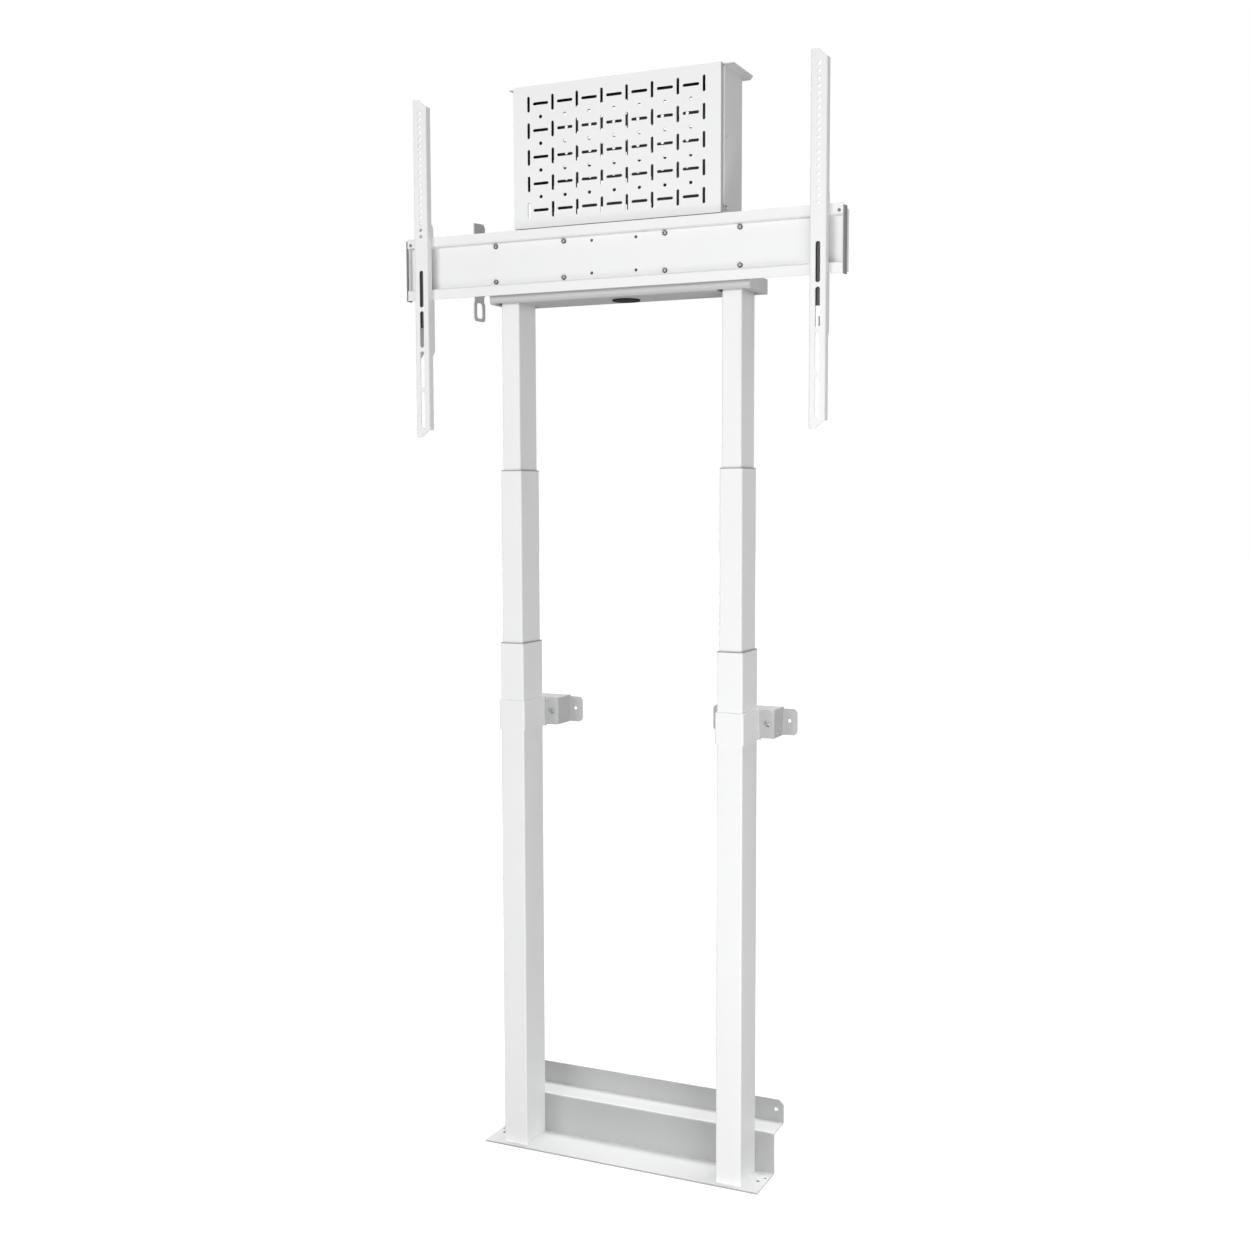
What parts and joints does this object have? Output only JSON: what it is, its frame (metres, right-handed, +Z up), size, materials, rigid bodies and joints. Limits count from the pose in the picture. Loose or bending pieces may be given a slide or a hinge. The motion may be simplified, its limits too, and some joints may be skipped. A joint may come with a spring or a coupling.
{
  "type": "motorized tv stand",
  "caption": "Wall-braced floor stand with two telescopic lift columns, a crossbar with hook-on screen arms and a vented media box above it.",
  "frame": {"origin": "on the floor, midway between the columns, in the plane of their centres", "axes": "+X along the crossbar to the viewer's right, +Y from the screen side to the wall, +Z up"},
  "size_m": [0.875, 0.173, 2.0385],
  "materials": {
    "white_coat": "fine powder coat, satin",
    "zinc_steel": "zinc plated",
    "tube_steel": "drawn tube",
    "bright_steel": "rolled and oiled",
    "spring_steel": "spring wire",
    "bronze": "machined",
    "cast_alloy": "die cast",
    "motor_black": "black paint",
    "glide_plastic": "moulded",
    "black_plastic": "fine grain",
    "grey_plastic": "fine grain",
    "black_rubber": "moulded",
    "board_green": "solder mask"
  },
  "bodies": {
    "root": {"base_bracket": "white_coat", "foot_screws": "zinc_steel", "standpipes": "tube_steel", "lower_nuts": "bronze", "outer_glides": "glide_plastic", "collar_screws": "zinc_steel", "left_outer_tube": "white_coat", "left_collar": "white_coat", "left_wall_bracket": "white_coat", "right_outer_tube": "white_coat", "right_collar": "white_coat", "right_wall_bracket": "white_coat"},
    "head": {"inner_shoes": "glide_plastic", "beam_tray": "white_coat", "beam_bottom": "white_coat", "cable_grommet": "black_rubber", "gearboxes": "cast_alloy", "motors": "motor_black", "crossbar": "white_coat", "crossbar_screws": "zinc_steel", "end_plates": "grey_plastic", "uprights": "white_coat", "box_brackets": "white_coat", "cable_hook_plate": "white_coat", "media_box": "white_coat", "media_top_cover": "white_coat", "panel_pins": "zinc_steel", "control_case": "black_plastic", "control_board": "board_green", "mains_inlet": "black_plastic", "left_inner_tube": "white_coat", "right_inner_tube": "white_coat"},
    "media_panel": {"media_panel": "white_coat"},
    "left_middle": {"left_middle_tube": "white_coat", "left_middle_pipe": "tube_steel", "left_upper_nut": "bronze", "left_middle_glide": "glide_plastic", "left_middle_shoe": "glide_plastic"},
    "left_lower_spindle": {"left_lower_spindle": "bright_steel"},
    "left_upper_spindle": {"left_upper_spindle": "bright_steel", "left_worm_wheel": "bronze"},
    "left_worm": {"left_worm": "bright_steel"},
    "left_arm": {"left_arm_rail": "white_coat", "left_arm_hook": "white_coat", "left_latch_spring": "spring_steel"},
    "left_latch": {"left_latch": "black_plastic"},
    "right_middle": {"right_middle_tube": "white_coat", "right_middle_pipe": "tube_steel", "right_upper_nut": "bronze", "right_middle_glide": "glide_plastic", "right_middle_shoe": "glide_plastic"},
    "right_lower_spindle": {"right_lower_spindle": "bright_steel"},
    "right_upper_spindle": {"right_upper_spindle": "bright_steel", "right_worm_wheel": "bronze"},
    "right_worm": {"right_worm": "bright_steel"},
    "right_arm": {"right_arm_rail": "white_coat", "right_arm_hook": "white_coat", "right_latch_spring": "spring_steel"},
    "right_latch": {"right_latch": "black_plastic"}
  },
  "joints": [
    {"name": "head_slide", "type": "slide", "parent": "root", "child": "head", "axis": [0, 0, 1], "range_m": [-0.65, 0]},
    {"name": "left_middle_slide", "type": "slide", "parent": "root", "child": "left_middle", "axis": [0, 0, 1], "range_m": [-0.325, 0]},
    {"name": "left_lower_spindle_spin", "type": "hinge", "parent": "left_middle", "child": "left_lower_spindle", "pos_m": [-0.224, 0, 0.709], "axis": [0, 0, 1], "continuous": true},
    {"name": "left_upper_spindle_spin", "type": "hinge", "parent": "head", "child": "left_upper_spindle", "pos_m": [-0.224, 0, 1.692], "axis": [0, 0, 1], "continuous": true},
    {"name": "left_worm_spin", "type": "hinge", "parent": "head", "child": "left_worm", "pos_m": [-0.224, 0.0293, 1.692], "axis": [1, 0, 0], "continuous": true},
    {"name": "left_arm_slide", "type": "slide", "parent": "head", "child": "left_arm", "axis": [-1, 0, 0], "range_m": [-0.195, 0.008]},
    {"name": "left_latch_slide", "type": "slide", "parent": "left_arm", "child": "left_latch", "axis": [0, 0, 1], "range_m": [-0.022, 0], "stiffness_N_per_m": 200, "springref_m": 0.01, "deforming": ["left_latch_spring"]},
    {"name": "right_middle_slide", "type": "slide", "parent": "root", "child": "right_middle", "axis": [0, 0, 1], "range_m": [-0.325, 0]},
    {"name": "right_lower_spindle_spin", "type": "hinge", "parent": "right_middle", "child": "right_lower_spindle", "pos_m": [0.224, 0, 0.709], "axis": [0, 0, 1], "continuous": true},
    {"name": "right_upper_spindle_spin", "type": "hinge", "parent": "head", "child": "right_upper_spindle", "pos_m": [0.224, 0, 1.692], "axis": [0, 0, 1], "continuous": true},
    {"name": "right_worm_spin", "type": "hinge", "parent": "head", "child": "right_worm", "pos_m": [0.224, 0.0293, 1.692], "axis": [1, 0, 0], "continuous": true},
    {"name": "right_arm_slide", "type": "slide", "parent": "head", "child": "right_arm", "axis": [1, 0, 0], "range_m": [-0.195, 0.008]},
    {"name": "right_latch_slide", "type": "slide", "parent": "right_arm", "child": "right_latch", "axis": [0, 0, 1], "range_m": [-0.022, 0], "stiffness_N_per_m": 200, "springref_m": 0.01, "deforming": ["right_latch_spring"]},
    {"name": "media_panel_hinge", "type": "hinge", "parent": "head", "child": "media_panel", "pos_m": [0, -0.038, 1.784], "axis": [1, 0, 0], "range_deg": [0, 90]}
  ],
  "couplings": [
    {"joint": "left_middle_slide", "follows": "head_slide", "ratio": 0.5},
    {"joint": "left_lower_spindle_spin", "follows": "head_slide", "rad_per_m": 314.16},
    {"joint": "left_upper_spindle_spin", "follows": "head_slide", "rad_per_m": 314.16},
    {"joint": "left_worm_spin", "follows": "head_slide", "rad_per_m": 4712.4},
    {"joint": "right_middle_slide", "follows": "head_slide", "ratio": 0.5},
    {"joint": "right_lower_spindle_spin", "follows": "head_slide", "rad_per_m": 314.16},
    {"joint": "right_upper_spindle_spin", "follows": "head_slide", "rad_per_m": 314.16},
    {"joint": "right_worm_spin", "follows": "head_slide", "rad_per_m": 4712.4}
  ]
}
